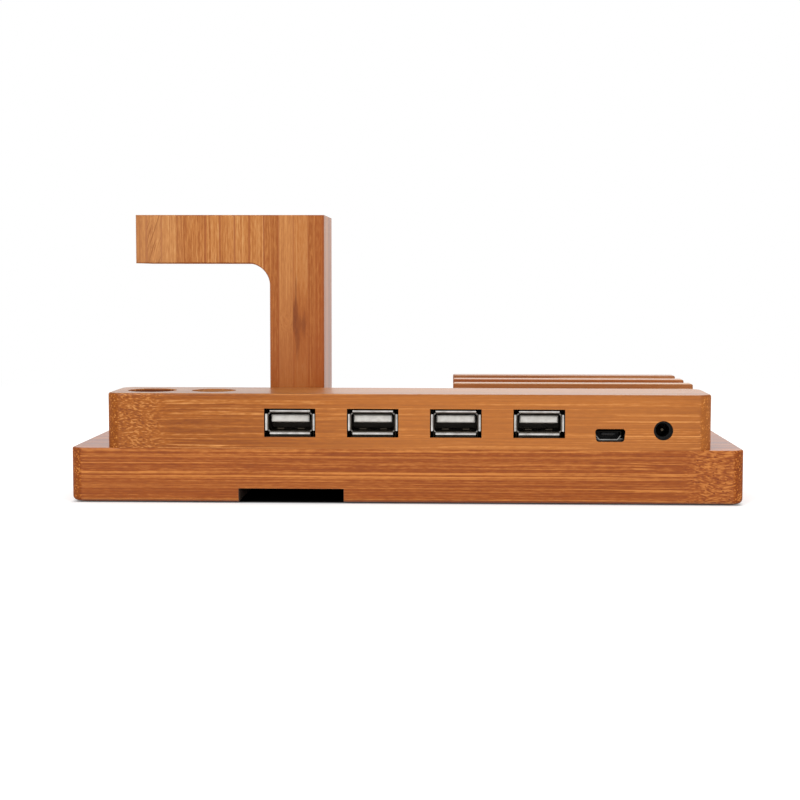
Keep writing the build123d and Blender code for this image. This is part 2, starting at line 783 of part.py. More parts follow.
# Power inlet: a moulded body with a bore, its centre pin and a contact spring in a side slot
spring_front = dc_front + dc_spring_from_front
spring_back = spring_front + dc_spring_length
with BuildPart() as dc_jack_body:
    with BuildSketch(facing_plane(dc_front)):
        with Locations((dc_x, dc_axis_height)):
            Rectangle(dc_body_width, dc_body_height)
    extrude(amount=-dc_body_length)
    chamfer(dc_jack_body.edges().filter_by(Axis.Y).group_by(Axis.Z)[-1], dc_body_chamfer)
    with BuildSketch(facing_plane(dc_front)):
        with Locations((dc_x, dc_axis_height)):
            Circle(dc_bore_diameter / 2)
    extrude(amount=-dc_bore_depth, mode=Mode.SUBTRACT)
    with BuildSketch(facing_plane(dc_front)):
        with Locations((dc_x, dc_axis_height)):
            Circle(dc_pin_diameter / 2 + dc_pin_fit)
    extrude(amount=-dc_body_length, mode=Mode.SUBTRACT)
    with BuildSketch(side_plane(dc_x)):
        with Locations(((spring_front + spring_back) / 2, dc_axis_height)):
            Rectangle(dc_spring_length, dc_spring_width + 2 * dc_spring_slot_clearance)
    extrude(amount=-dc_body_width / 2, mode=Mode.SUBTRACT)
save(dc_jack_body, "dc_jack_body")

with BuildPart() as dc_jack_pin:
    with BuildSketch(facing_plane(dc_front + dc_pin_inset)):
        with Locations((dc_x, dc_axis_height)):
            Circle(dc_pin_diameter / 2)
    extrude(amount=dc_pin_inset - dc_body_length - dc_pin_tail)
    fillet(dc_jack_pin.faces().sort_by(Axis.Y)[0].edges(), dc_pin_round)
save(dc_jack_pin, "dc_jack_pin")

with BuildPart() as dc_jack_spring:
    outside = dc_x - dc_body_width / 2
    contact_line = dc_x - dc_bore_diameter / 2 + dc_spring_rise - dc_spring_thickness
    free_end = dc_x - dc_bore_diameter / 2 - dc_spring_thickness
    with BuildSketch(Plane.XY.offset(dc_axis_height)):
        with BuildLine():
            Polyline((outside, spring_back), (contact_line, spring_front + dc_spring_length / 3),
                     (free_end, spring_front), (free_end + dc_spring_thickness, spring_front),
                     (contact_line + dc_spring_thickness, spring_front + dc_spring_length / 3),
                     (outside + dc_spring_thickness, spring_back), close=True)
        make_face()
    extrude(amount=dc_spring_width / 2, both=True)
save(dc_jack_spring, "dc_jack_spring")

# Circuit board, screwed up against the ledge in the housing
with BuildPart() as hub_board:
    with BuildSketch(Plane.XY.offset(board_bottom)):
        with Locations((cavity_x, (cavity_rear + cavity_front) / 2)):
            Rectangle(cavity_length - 2 * board_clearance, cavity_front - cavity_rear - 2 * board_clearance)
        with Locations(*board_screw_points):
            Circle(board_screw_diameter / 2 + board_screw_clearance, mode=Mode.SUBTRACT)
        leg_y = shell_front + usb_leg_from_front + usb_leg_width / 2
        leg_offset = usb_shell_width / 2 - usb_sheet / 2
        with Locations(*[(x + side * leg_offset, leg_y) for x in usb_places for side in (-1, 1)]):
            Rectangle(usb_sheet + 2 * usb_leg_hole_clearance, usb_leg_width + 2 * usb_leg_hole_clearance,
                      mode=Mode.SUBTRACT)
        tail_y = contact_tail_front + contact_thickness / 2
        with Locations(*[(x + place, tail_y) for x in usb_places for place in contact_places]):
            Circle(contact_hole_diameter / 2, mode=Mode.SUBTRACT)
    extrude(amount=board_thickness)
save(hub_board, "hub_board")

with BuildPart() as board_screws:
    with BuildSketch(Plane.XY.offset(board_bottom - board_screw_head_height)):
        with Locations(*board_screw_points):
            Circle(board_screw_head / 2)
    extrude(amount=board_screw_head_height)
    fillet(board_screws.faces().filter_by(Axis.Z).group_by(Axis.Z)[0].edges(), board_screw_head_round)
    with BuildSketch(Plane.XY.offset(board_bottom)):
        with Locations(*board_screw_points):
            Circle(board_screw_diameter / 2)
    extrude(amount=board_screw_length)
    with BuildSketch(Plane.XY.offset(board_bottom - board_screw_head_height)):
        with Locations(*board_screw_points):
            Rectangle(board_screw_head, board_screw_slot_width)
    extrude(amount=board_screw_slot_depth, mode=Mode.SUBTRACT)
save(board_screws, "board_screws")


def make_chip(x, length, lead_count, lead_pitch, lead_width):
    """A moulded chip that lies along Y, with a row of bent leads down each long side."""
    body_low = board_top + chip_standoff
    lead_root = body_low + chip_height / 2
    knee = chip_lead_reach - chip_lead_foot
    with BuildPart() as chip:
        with BuildSketch(Plane.XY.offset(body_low)):
            with Locations((x, component_y)):
                Rectangle(chip_width, length)
        extrude(amount=chip_height)
        chamfer(chip.faces().sort_by(Axis.Z)[-1].edges(), chip_chamfer)
        for n in range(lead_count):
            lead_y = component_y + (n - (lead_count - 1) / 2) * lead_pitch
            with BuildSketch(facing_plane(lead_y)):
                for side in (-1, 1):
                    root = x + side * chip_width / 2
                    with BuildLine():
                        Polyline(
                            (root, lead_root), (root + side * knee, lead_root),
                            (root + side * knee, board_top + chip_lead_thickness),
                            (root + side * chip_lead_reach, board_top + chip_lead_thickness),
                            (root + side * chip_lead_reach, board_top),
                            (root + side * (knee - chip_lead_thickness), board_top),
                            (root + side * (knee - chip_lead_thickness), lead_root - chip_lead_thickness),
                            (root, lead_root - chip_lead_thickness), close=True)
                    make_face()
            extrude(amount=lead_width / 2, both=True)
    return chip


def between_ports(number):
    """The x halfway between this port, counted from one, and the next."""
    return (usb_places[number - 1] + usb_places[number]) / 2


hub_controller = make_chip(between_ports(1), hub_chip_length, hub_chip_lead_count, hub_chip_lead_pitch,
                           hub_chip_lead_width)
save(hub_controller, "hub_controller")
power_regulator = make_chip(between_ports(3), regulator_length, regulator_lead_count, regulator_lead_pitch,
                            regulator_lead_width)
save(power_regulator, "power_regulator")

# Clock crystal in its can
with BuildPart() as clock_crystal:
    with BuildSketch(Plane.XY.offset(board_top)):
        with Locations((between_ports(2), component_y)):
            SlotOverall(crystal_length + 2 * crystal_flange, crystal_width + 2 * crystal_flange, rotation=90)
    extrude(amount=crystal_flange_height)
    with BuildSketch(Plane.XY.offset(board_top + crystal_flange_height)):
        with Locations((between_ports(2), component_y)):
            SlotOverall(crystal_length, crystal_width, rotation=90)
    extrude(amount=crystal_height - crystal_flange_height)
    fillet(clock_crystal.faces().sort_by(Axis.Z)[-1].edges(), crystal_round)
save(clock_crystal, "clock_crystal")

# Power inductor with the top of its core set a little lower
with BuildPart() as power_inductor:
    with BuildSketch(Plane.XY.offset(board_top)):
        with Locations((micro_x, inductor_y)):
            RectangleRounded(inductor_size, inductor_size, inductor_corner)
    extrude(amount=inductor_height)
    with BuildSketch(Plane.XY.offset(board_top + inductor_height)):
        with Locations((micro_x, inductor_y)):
            Circle(inductor_core_diameter / 2)
    extrude(amount=-inductor_core_recess, mode=Mode.SUBTRACT)
save(power_inductor, "power_inductor")

# One resettable fuse behind each port
with BuildPart() as port_fuses:
    with BuildSketch(Plane.XY.offset(board_top)):
        with Locations(*[(x, fuse_y) for x in usb_places]):
            Rectangle(fuse_length, fuse_width)
    extrude(amount=fuse_height)
    with BuildSketch(Plane.XY.offset(board_top)):
        cap_offset = (fuse_length - fuse_cap_length) / 2 + fuse_cap_step
        with Locations(*[(x + side * cap_offset, fuse_y) for x in usb_places for side in (-1, 1)]):
            Rectangle(fuse_cap_length, fuse_width + 2 * fuse_cap_step)
    extrude(amount=fuse_height + fuse_cap_step)
save(port_fuses, "port_fuses")


def make_capacitor():
    """A can on a square base with two cut corners, its foot at z = 0."""
    can = capacitor_diameter / 2
    waist = can - capacitor_groove_depth
    groove_top = capacitor_groove_level + capacitor_groove_height
    with BuildPart() as capacitor:
        with BuildSketch(Plane.XY) as foot:
            Rectangle(capacitor_base, capacitor_base)
            chamfer(foot.vertices().group_by(Axis.X)[-1], capacitor_base_chamfer)
        extrude(amount=capacitor_base_height)
        with BuildSketch(Plane.XZ):
            with BuildLine():
                Polyline((0, 0), (can, 0), (can, capacitor_groove_level),
                         (waist, capacitor_groove_level + capacitor_groove_height / 2), (can, groove_top),
                         (can, capacitor_height), (0, capacitor_height), close=True)
            make_face()
        revolve(axis=Axis.Z)
        fillet(capacitor.faces().sort_by(Axis.Z)[-1].edges(), capacitor_top_round)
    return capacitor.part


capacitor = make_capacitor()
with BuildPart() as filter_capacitors:
    first = rear_face + capacitor_inset
    with Locations(*[(capacitor_x, first + n * capacitor_pitch, board_top) for n in range(capacitor_count)]):
        add(capacitor)
save(filter_capacitors, "filter_capacitors")
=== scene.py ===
import json
import math
from collections import namedtuple

import bpy
from mathutils import Matrix, Vector


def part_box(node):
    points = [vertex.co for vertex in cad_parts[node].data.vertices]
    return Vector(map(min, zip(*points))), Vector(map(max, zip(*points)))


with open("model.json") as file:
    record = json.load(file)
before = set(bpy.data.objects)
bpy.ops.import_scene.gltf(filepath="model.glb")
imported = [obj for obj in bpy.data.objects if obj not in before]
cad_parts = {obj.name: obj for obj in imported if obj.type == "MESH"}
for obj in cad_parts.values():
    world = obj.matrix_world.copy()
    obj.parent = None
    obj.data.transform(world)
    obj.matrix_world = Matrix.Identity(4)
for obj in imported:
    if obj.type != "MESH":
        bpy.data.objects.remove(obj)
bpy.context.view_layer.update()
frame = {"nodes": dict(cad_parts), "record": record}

# The finish of a bamboo charging dock, with its stage, light and camera. Places are in metres, in
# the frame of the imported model, and inside the materials in millimetres.
MM = 0.001
WHITE = (1.0, 1.0, 1.0, 1.0)


def in_mm(node):
    """The lowest and the highest corner of a node, in millimetres."""
    return [tuple(value / MM for value in corner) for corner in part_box(node)]


def colour(red, green, blue):
    """A colour as it looks on a screen, from 0 to 255, in the linear values that a shader takes."""
    knee, slope, offset, power = 0.04045, 12.92, 0.055, 2.4
    linear = []
    for value in (red / 255, green / 255, blue / 255):
        curved = ((value + offset) / (1 + offset)) ** power
        linear.append(curved if value > knee else value / slope)
    return (*linear, 1.0)


class Finish:
    """A material written as formulas: most methods add nodes and give back their output.

    x, y and z are the place on the surface, in millimetres, and tone is the colour as it is so far.
    """

    def __init__(self, name, **surface):
        self.material = bpy.data.materials.new(name)
        self.material.use_nodes = True
        self.nodes = self.material.node_tree.nodes
        self.links = self.material.node_tree.links
        self.shader = self.nodes["Principled BSDF"]
        self.set(**surface)
        self.tone = None
        scale = self.nodes.new("ShaderNodeVectorMath")
        scale.operation = "SCALE"
        scale.inputs["Scale"].default_value = 1 / MM
        self.put(scale.inputs[0], self.nodes.new("ShaderNodeTexCoord").outputs["Object"])
        self.x, self.y, self.z = self.parts(scale.outputs[0])

    def set(self, **surface):
        """Sets inputs of the surface shader, each named with _ for a space."""
        for name, value in surface.items():
            self.put(self.shader.inputs[name.replace("_", " ")], value)

    def put(self, socket, value):
        """Links an output to the socket, or sets the socket to a constant."""
        if isinstance(value, bpy.types.NodeSocket):
            self.links.new(value, socket)
        else:
            socket.default_value = value

    def finished(self):
        """Puts the tone on the surface and gives back the material."""
        self.set(Base_Color=self.tone)
        return self.material

    # Numbers

    def math(self, operation, *values):
        node = self.nodes.new("ShaderNodeMath")
        node.operation = operation
        for socket, value in zip(node.inputs, values):
            self.put(socket, value)
        return node.outputs[0]

    def add(self, *values):
        total = values[0]
        for value in values[1:]:
            total = self.math("ADD", total, value)
        return total

    def times(self, *values):
        product = values[0]
        for value in values[1:]:
            product = self.math("MULTIPLY", product, value)
        return product

    def opposite(self, value):
        """1 where the value is 0, and 0 where it is 1."""
        return self.math("SUBTRACT", 1.0, value)

    def centred(self, value, amount):
        """A value from 0 to 1 turned into one from -amount / 2 to amount / 2."""
        return self.times(self.math("SUBTRACT", value, 0.5), amount)

    def distance(self, first, second):
        """The distance of a point that lies this far out along two axes."""
        return self.math("SQRT", self.add(self.times(first, first), self.times(second, second)))

    def smooth(self, value, start, end, low=0.0, high=1.0):
        """Goes softly from low, at start, to high, at end."""
        node = self.nodes.new("ShaderNodeMapRange")
        node.interpolation_type = "SMOOTHSTEP"
        for socket, number in zip(node.inputs, (value, start, end, low, high)):
            self.put(socket, number)
        return node.outputs[0]

    def band(self, value, start, end, soft):
        """1 between start and end and 0 outside them, with a transition of twice soft at both."""
        return self.times(self.smooth(value, start - soft, start + soft),
                          self.smooth(value, end + soft, end - soft))

    def inside(self, low, high, soft):
        """1 inside a box and 0 outside it, with sides as soft as those of a band."""
        return self.times(*[self.band(value, start, end, soft)
                            for value, start, end in zip((self.x, self.y, self.z), low, high)])

    # Vectors

    def vector(self, x, y, z):
        node = self.nodes.new("ShaderNodeCombineXYZ")
        for socket, value in zip(node.inputs, (x, y, z)):
            self.put(socket, value)
        return node.outputs[0]

    def parts(self, vector):
        """The x, y and z of a vector."""
        node = self.nodes.new("ShaderNodeSeparateXYZ")
        self.put(node.inputs[0], vector)
        return node.outputs

    def normal(self):
        """The direction that the surface faces."""
        return self.nodes.new("ShaderNodeNewGeometry").outputs["Normal"]

    def place(self, x_size, y_size, z_size, x=None, y=None, z=None):
        """The point on the surface, or another one, counted in steps of these sizes."""
        point = (x or self.x, y or self.y, z or self.z)
        sizes = (x_size, y_size, z_size)
        return self.vector(*[self.times(value, 1 / size) for value, size in zip(point, sizes)])

    def cubes(self, size):
        """The point on the surface, counted in cubes of this size."""
        return self.place(size, size, size)

    # Patterns

    def noise(self, vector, detail=2.0, roughness=0.5):
        node = self.nodes.new("ShaderNodeTexNoise")
        values = {"Vector": vector, "Scale": 1.0, "Detail": detail, "Roughness": roughness}
        for name, value in values.items():
            self.put(node.inputs[name], value)
        return node.outputs[0]

    def cells(self, vector):
        """The distance to the nearest of many scattered points, about one in each unit cube."""
        node = self.nodes.new("ShaderNodeTexVoronoi")
        self.put(node.inputs["Vector"], vector)
        self.put(node.inputs["Scale"], 1.0)
        return node.outputs["Distance"]

    def random(self, value):
        """A value from 0 to 1 that is another one for each value."""
        node = self.nodes.new("ShaderNodeTexWhiteNoise")
        node.noise_dimensions = "1D"
        self.put(node.inputs["W"], value)
        return node.outputs["Value"]

    def edges(self, radius):
        """1 on edges that stick out or are cut in, within this radius, and 0 on flat faces."""
        flat, turned = 0.99, 0.8        # cosines of the angle between the face and its rounding
        rounded = self.nodes.new("ShaderNodeBevel")
        rounded.samples = 4
        rounded.inputs["Radius"].default_value = radius * MM
        dot = self.nodes.new("ShaderNodeVectorMath")
        dot.operation = "DOT_PRODUCT"
        self.put(dot.inputs[0], rounded.outputs[0])
        self.put(dot.inputs[1], self.normal())
        return self.smooth(dot.outputs["Value"], flat, turned)

    # Colours and relief

    def mix(self, factor, first, second, blend="MIX"):
        """The first colour at factor 0, and at 1 the second one or its blend with the first."""
        node = self.nodes.new("ShaderNodeMix")
        node.data_type = "RGBA"
        node.blend_type = blend
        factor_input, first_input, second_input, colour_output = 0, 6, 7, 2
        self.put(node.inputs[factor_input], factor)
        self.put(node.inputs[first_input], first)
        self.put(node.inputs[second_input], second)
        return node.outputs[colour_output]

    def ramp(self, value, *stops):
        """A colour that follows a value through stops, each a place from 0 to 1 and a colour."""
        node = self.nodes.new("ShaderNodeValToRGB")
        points = node.color_ramp.elements
        while len(points) < len(stops):
            points.new(1.0)
        for point, (position, tone) in zip(points, stops):
            point.position = position
            point.color = tone
        self.put(node.inputs[0], value)
        return node.outputs[0]

    def tint(self, mask, amount, shade, blend="MIX"):
        """Changes the tone towards a shade where the mask is 1, wholly if the amount is 1."""
        self.tone = self.mix(self.times(mask, amount), self.tone, shade, blend)

    def bump(self, height, distance):
        """Raises the surface by the height, from 0 to 1, times this distance in millimetres."""
        node = self.nodes.new("ShaderNodeBump")
        self.put(node.inputs["Height"], height)
        self.put(node.inputs["Distance"], distance * MM)
        self.put(self.shader.inputs["Normal"], node.outputs[0])


# A knot in a strip of bamboo: the stretch across the strips in which it lies, its place along the
# grain, half its length, and how much it darkens, from 0 to 1
Knot = namedtuple("Knot", "low high place half darkness")

# Lines in bamboo: their length and thickness, a shift that sets each kind apart, and how strongly
# they show. The thickness of bundles is a share of their spacing.
Line = namedtuple("Line", "length thickness shift weight")
FIBRES = Line(220.0, 0.55, 7.1, 0.36)
FINE = Line(16.0, 0.25, 0.0, 0.4)
TICKS = Line(2.6, 0.45, 1.7, 0.5)
CLUSTERS = Line(110.0, 2.6, 5.2, 0.6)
THICK_BUNDLES = Line(500.0, 0.5, 0.0, 0.5)
THIN_BUNDLES = Line(400.0, 0.27, 3.3, 0.7)
DARK_BUNDLES = Line(400.0, 0.42, 9.4, -0.14)

# How far other parts of the pattern move the tone, which goes from 0, dark, to 1, light
DARK_DASH, SPECK, SMUDGE, HALO = -0.3, -0.7, -0.5, -0.6
KNOT_FINE, BROAD, END_DOT = 0.3, 0.16, 0.46
STREAK_BASE, KNOT_BASE, END_BASE = -0.17, 0.02, -0.26


def bamboo(name, tones, grain, across, strip_width, strip_start, spacing, seed, knots=(),
           spread=0.3, joints=0.5, slant=0.0, knot_range=330.0, dash=(2.0, 0.36), dash_light=0.38,
           gloss=0.3, contrast=1.0, bundles=(0.53, 0.61), bundle_light=0.5):
    """Laminated bamboo under satin lacquer: strips glued side by side, with fibres and knots.

    tones: the dark, middle and light tone of the wood
    grain, across: the axes along which the fibres run, and the strips lie side by side
    strip_width, strip_start: how wide the strips are, and where the first one begins
    spacing: the distance between bundles of fibres
    seed: sets the random values of the strips apart from those of other pieces
    knots: chosen ones. Each strip without one has a random one, somewhere within knot_range
    spread: how much the strips differ in tone
    joints: the share of the joints between strips that show as a dark line
    slant: how far the fibres of the first strip lean
    dash, dash_light: the length and thickness of the dashes in a knot, and how pale they are
    gloss: the weight of the lacquer
    contrast: how strongly the fibres show
    bundles, bundle_light: the noise where a pale bundle begins and is full, and how pale it is
    """
    wood = Finish(name, IOR=1.36, Coat_Roughness=0.15, Coat_IOR=1.25)
    axes = {"x": wood.x, "y": wood.y, "z": wood.z}
    along, side = axes.pop(grain), axes.pop(across)
    [depth] = axes.values()

    # The strips, counted from the first one
    counted = wood.times(wood.add(side, -strip_start), 1 / strip_width)
    strip = wood.math("FLOOR", counted)
    in_strip = wood.add(counted, wood.times(strip, -1.0), -0.5)

    def own(number):
        """A random value of each strip's own, another one for each number."""
        step = 13.7
        return wood.random(wood.add(strip, seed + step * number))

    knot_place, line_place, own_tone, own_slope = own(1), own(3), own(4), own(5)

    # The distance from the strip's knot, counted in half the knot's length
    random_half = 7.0               # of a random knot
    from_knot = wood.times(wood.add(along, wood.centred(knot_place, knot_range)), 1 / random_half)
    smudge = 0.0
    for low, high, place, half, darkness in knots:
        here = wood.times(wood.math("GREATER_THAN", side, low), wood.math("LESS_THAN", side, high))
        chosen = wood.times(wood.add(along, -place), 1 / half)
        from_knot = wood.add(wood.times(from_knot, wood.opposite(here)), wood.times(chosen, here))
        smudge = wood.add(smudge, wood.times(here, darkness))
    reach = wood.math("ABSOLUTE", from_knot)
    ragged = wood.centred(wood.noise(wood.place(1.7, 1.7, 1.7, along, side, depth)), 1.1)
    knot = wood.smooth(wood.add(reach, ragged), 1.45, 0.35)

    # Fibres run nearly straight, lean in the first strip, and fan out from a knot
    fan = wood.math("DIVIDE", from_knot, wood.add(1.0, reach))
    spray = wood.centred(wood.noise(wood.place(2.4, 2.4, 1.0, side, depth, strip)), 7.5)
    sway = wood.centred(wood.noise(wood.place(90.0, 1.0, 30.0, along, strip, depth)), 2.2)
    first = wood.math("LESS_THAN", wood.math("ABSOLUTE", strip), 0.5)
    shift = wood.add(sway, wood.times(spray, fan))
    offset = wood.times(line_place, 90.0)
    along_line = wood.add(along, offset)
    side_line = wood.add(side, wood.times(shift, 0.7), wood.times(first, slant, along), offset)
    depth_line = wood.add(depth, shift, offset)

    def lines(kind, scale=1.0, **options):
        """Noise that is drawn out along the fibres, for one kind of line."""
        thickness = kind.thickness * scale
        counted_along = wood.add(wood.times(along_line, 1 / kind.length), kind.shift)
        return wood.noise(wood.vector(counted_along, wood.times(side_line, 1 / thickness),
                                      wood.times(depth_line, 1 / thickness)), **options)

    fibres = lines(FIBRES, roughness=0.65)
    fine = lines(FINE, detail=1.0)
    ticks = lines(TICKS)
    clusters = wood.smooth(lines(CLUSTERS), 0.40, 0.62)
    thick = wood.smooth(lines(THICK_BUNDLES, spacing), *bundles)
    thin = wood.smooth(lines(THIN_BUNDLES, spacing), 0.55, 0.68)
    dark_bundles = wood.smooth(lines(DARK_BUNDLES, spacing), 0.42, 0.26)
    crowded = wood.add(THICK_BUNDLES.weight, wood.times(clusters, CLUSTERS.weight))
    pale = wood.add(wood.times(thick, crowded), wood.times(thin, THIN_BUNDLES.weight))
    broad = wood.noise(wood.place(70.0, 1.0, 7.0, along, strip, depth))

    # A knot is short dashes at two slants, with dark specks
    dash_length, dash_thickness = dash

    def dashes(tilt_by, shift_by):
        tilt = wood.times(along, tilt_by)
        counted_along = wood.add(wood.times(along, 1 / dash_length), shift_by)
        found = wood.noise(wood.vector(counted_along,
                                       wood.times(wood.add(side, tilt), 1 / dash_thickness),
                                       wood.times(wood.add(depth, tilt), 1 / dash_thickness)),
                           detail=0.5)
        return wood.add(wood.times(wood.smooth(found, 0.48, 0.66), dash_light),
                        wood.times(wood.smooth(found, 0.46, 0.32), DARK_DASH))

    patches = wood.noise(wood.place(2.6, 2.6, 2.6, along, side, depth))
    slanted = wood.smooth(patches, 0.44, 0.56)
    dashed = wood.add(wood.times(dashes(0.24, 0.0), slanted),
                      wood.times(dashes(-0.12, 4.0), wood.opposite(slanted)))
    specks = wood.smooth(wood.cells(wood.place(1.7, 1.0, 1.1, along, side, depth)), 0.22, 0.10)

    # The whole pattern, as one value. Stained fibres reach out from a dark knot.
    streaks = wood.add(wood.centred(fibres, FIBRES.weight * contrast),
                       wood.times(pale, bundle_light),
                       wood.times(dark_bundles, DARK_BUNDLES.weight),
                       wood.centred(fine, FINE.weight * contrast),
                       wood.centred(ticks, TICKS.weight * contrast), STREAK_BASE)
    knotted = wood.add(dashed, wood.times(specks, SPECK), wood.centred(fine, KNOT_FINE),
                       wood.times(smudge, SMUDGE), KNOT_BASE)
    halo = wood.times(wood.smooth(reach, 3.6, 0.7), smudge, wood.smooth(fibres, 0.36, 0.56), HALO)
    value = wood.add(0.5, wood.times(streaks, wood.opposite(knot)), wood.times(knotted, knot),
                     wood.centred(broad, BROAD), wood.centred(own_tone, spread),
                     wood.times(in_strip, wood.centred(own_slope, spread)), halo)

    # Where the surface cuts across the fibres, they show as dots
    facing = dict(zip("xyz", wood.parts(wood.normal())))[grain]
    cut = wood.smooth(wood.math("ABSOLUTE", facing), 0.06, 0.34)
    dots = wood.smooth(wood.cells(wood.cubes(0.8)), 0.46, 0.22)
    value = wood.add(value, wood.times(cut, wood.add(wood.times(dots, END_DOT), END_BASE)))
    dark, middle, light = tones
    wood.tone = wood.ramp(value, (0.05, dark), (0.5, middle), (0.98, light))

    # Thin dark joints between some strips, and darker, slightly rougher edges: painted shade on
    # their roundings, with some wear
    joint_start, joint_end = 0.36, 0.12         # in millimetres from the strip's side
    by_joint = wood.smooth(wood.math("ABSOLUTE", in_strip), 0.5 - joint_start / strip_width,
                           0.5 - joint_end / strip_width)
    joint_number = wood.math("FLOOR", wood.add(counted, 0.5))
    chance = wood.random(wood.add(joint_number, seed))
    shown = wood.smooth(chance, 1.0 - joints, 1.1 - joints)
    joint = wood.times(by_joint, shown)
    wood.tint(joint, 0.65, colour(146, 70, 26))
    # Painted edge shade, which also roughens the lacquer as wear
    shaded_worn_edges = wood.times(wood.edges(0.3), wood.smooth(fine, 0.2, 0.5))
    wood.tint(shaded_worn_edges, 0.5, colour(118, 66, 32))

    # Satin lacquer, which the cut ends soak up, over a faint relief
    wood.set(Coat_Weight=wood.smooth(cut, 0.0, 1.0, gloss, 0.0),
             Roughness=wood.add(0.38, wood.centred(fine, 0.25), wood.times(shaded_worn_edges, 0.15),
                                wood.times(cut, 0.4)))
    peel = wood.noise(wood.cubes(1.6), detail=1.0)
    wood.bump(wood.add(wood.times(fibres, 0.4), wood.times(fine, 0.3), wood.times(peel, 0.25),
                       wood.times(joint, -0.4)), 0.03)
    return wood


def paint_shade(wood, mask, shade):
    """Painted shade: turns the tone dark, with a fine grain, where the mask is 1."""
    grain = wood.noise(wood.cubes(0.4))
    wood.tint(mask, 1.0, wood.mix(grain, shade, colour(30, 28, 27)))


# Places on the pieces, in millimetres
plate_low, plate_high = in_mm("base_plate")
bar_low, bar_high = in_mm("hub_housing")
board_low, board_high = in_mm("hub_board")
stand_right = in_mm("watch_stand")[1][0]
usb_front = in_mm("usb_a_shell_1")[0][1]
micro_left, _, micro_bottom = in_mm("micro_usb_shell")[0]

# A painted shadow for metal deep inside a receptacle
PAINTED_RECEPTACLE_SHADOW = colour(70, 64, 55)


def plate_finish():
    """Redder bamboo, with a knot at the right end of its rear edge, and painted shade in its cable
    channel.
    """
    rear = plate_low[1]
    wood = bamboo("plate_bamboo_lacquered",
                  (colour(120, 52, 6), colour(154, 76, 12), colour(208, 130, 58)),
                  "x", "y", strip_width=5.4, strip_start=rear - 0.7, spacing=1.5, seed=3.1,
                  knots=[Knot(rear - 1.0, rear + 4.7, place=90.5, half=9.0, darkness=0.1)],
                  dash=(3.4, 0.4), dash_light=0.3, contrast=1.35, bundle_light=0.4)
    # Painted shade in the cable channel, where it lies in shadow
    channel_low, channel_high = (-48.8, rear - 0.3, -1.0), (-18.0, 5.05, 4.42)
    paint_shade(wood, wood.inside(channel_low, channel_high, 0.03), colour(84, 66, 54))
    return wood.finished()


def bar_finish():
    """Yellower bamboo, with a knot at the bar's left end, and painted shade in the hollow behind
    the ports.
    """
    rear, top = bar_low[1], bar_high[2]
    wood = bamboo("housing_bamboo_lacquered",
                  (colour(136, 68, 10), colour(168, 93, 22), colour(226, 156, 86)),
                  "x", "y", strip_width=5.2, strip_start=rear - 0.9, spacing=1.1, seed=8.4,
                  knots=[Knot(rear - 1.0, rear + 4.3, place=-79.0, half=8.5, darkness=0.0)],
                  contrast=1.3, bundles=(0.5, 0.58), bundle_light=0.42)

    # Paler to the right, most of all on the sides, and a greyer brown on the top, a painted
    # reflection of the lacquer there
    to_the_right = wood.smooth(wood.x, -70.0, 10.0)
    but_the_end = wood.smooth(wood.x, 92.0, 66.0, 0.6, 1.0)
    below_top = wood.smooth(wood.z, top - 0.3, top - 0.6, 0.3, 1.0)
    wood.tint(wood.times(to_the_right, but_the_end, below_top), 0.42, colour(208, 130, 60))
    wood.tint(wood.smooth(wood.z, top - 0.25, top - 0.05), 0.22, colour(150, 118, 78))

    # Painted shade on the walls of the large pen hole, and painted light on those of the small one
    hole_y = rear + 12.5
    for hole_x, radius, amount, shade in ((-75.96, 6.9, 0.85, colour(96, 42, 14)),
                                          (-57.58, 6.15, 0.7, colour(186, 132, 84))):
        out = wood.distance(wood.add(wood.x, -hole_x), wood.add(wood.y, -hole_y))
        wall = wood.smooth(out, radius + 0.3, radius + 0.15)
        wood.tint(wood.times(wall, wood.smooth(wood.z, top - 0.1, top - 0.5)), amount, shade)

    # Painted shade in the hollow behind the ports
    painted_shade_hollow = wood.inside((board_low[0] - 1.0, rear - 0.2, bar_low[2] - 1.0),
                         (board_high[0] + 1.0, board_high[1] + 0.6, top - 2.6), 0.05)
    behind_face = wood.smooth(wood.y, rear + 0.12, rear + 0.2)
    paint_shade(wood, wood.times(painted_shade_hollow, behind_face), colour(8, 7, 7))
    return wood.finished()


